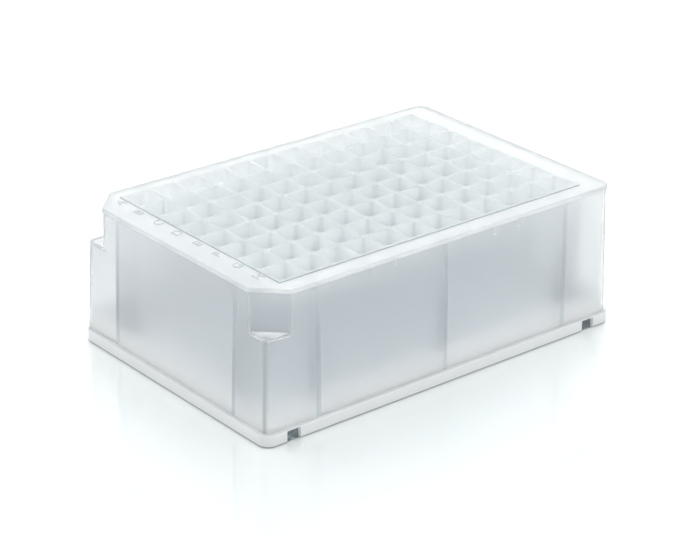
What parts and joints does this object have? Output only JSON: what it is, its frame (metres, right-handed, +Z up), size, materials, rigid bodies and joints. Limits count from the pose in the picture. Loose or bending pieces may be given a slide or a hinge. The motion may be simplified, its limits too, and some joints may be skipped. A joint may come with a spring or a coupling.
{
  "type": "deep-well plate",
  "caption": "Laboratory plate moulded in one piece: a skirted block of deep square wells that taper to a point, with notched corners and row letters.",
  "frame": {"origin": "centre of the footprint, on the face that rests on the bench", "axes": "+X along the long side from the first column of wells, at the notched corners, to the last; +Y along the short side towards row A; +Z up, out of the wells"},
  "size_m": [0.1278, 0.0854, 0.0438],
  "materials": {
    "natural_polypropylene": "satin"
  },
  "bodies": {
    "root": {"well_plate": "natural_polypropylene"}
  },
  "joints": []
}
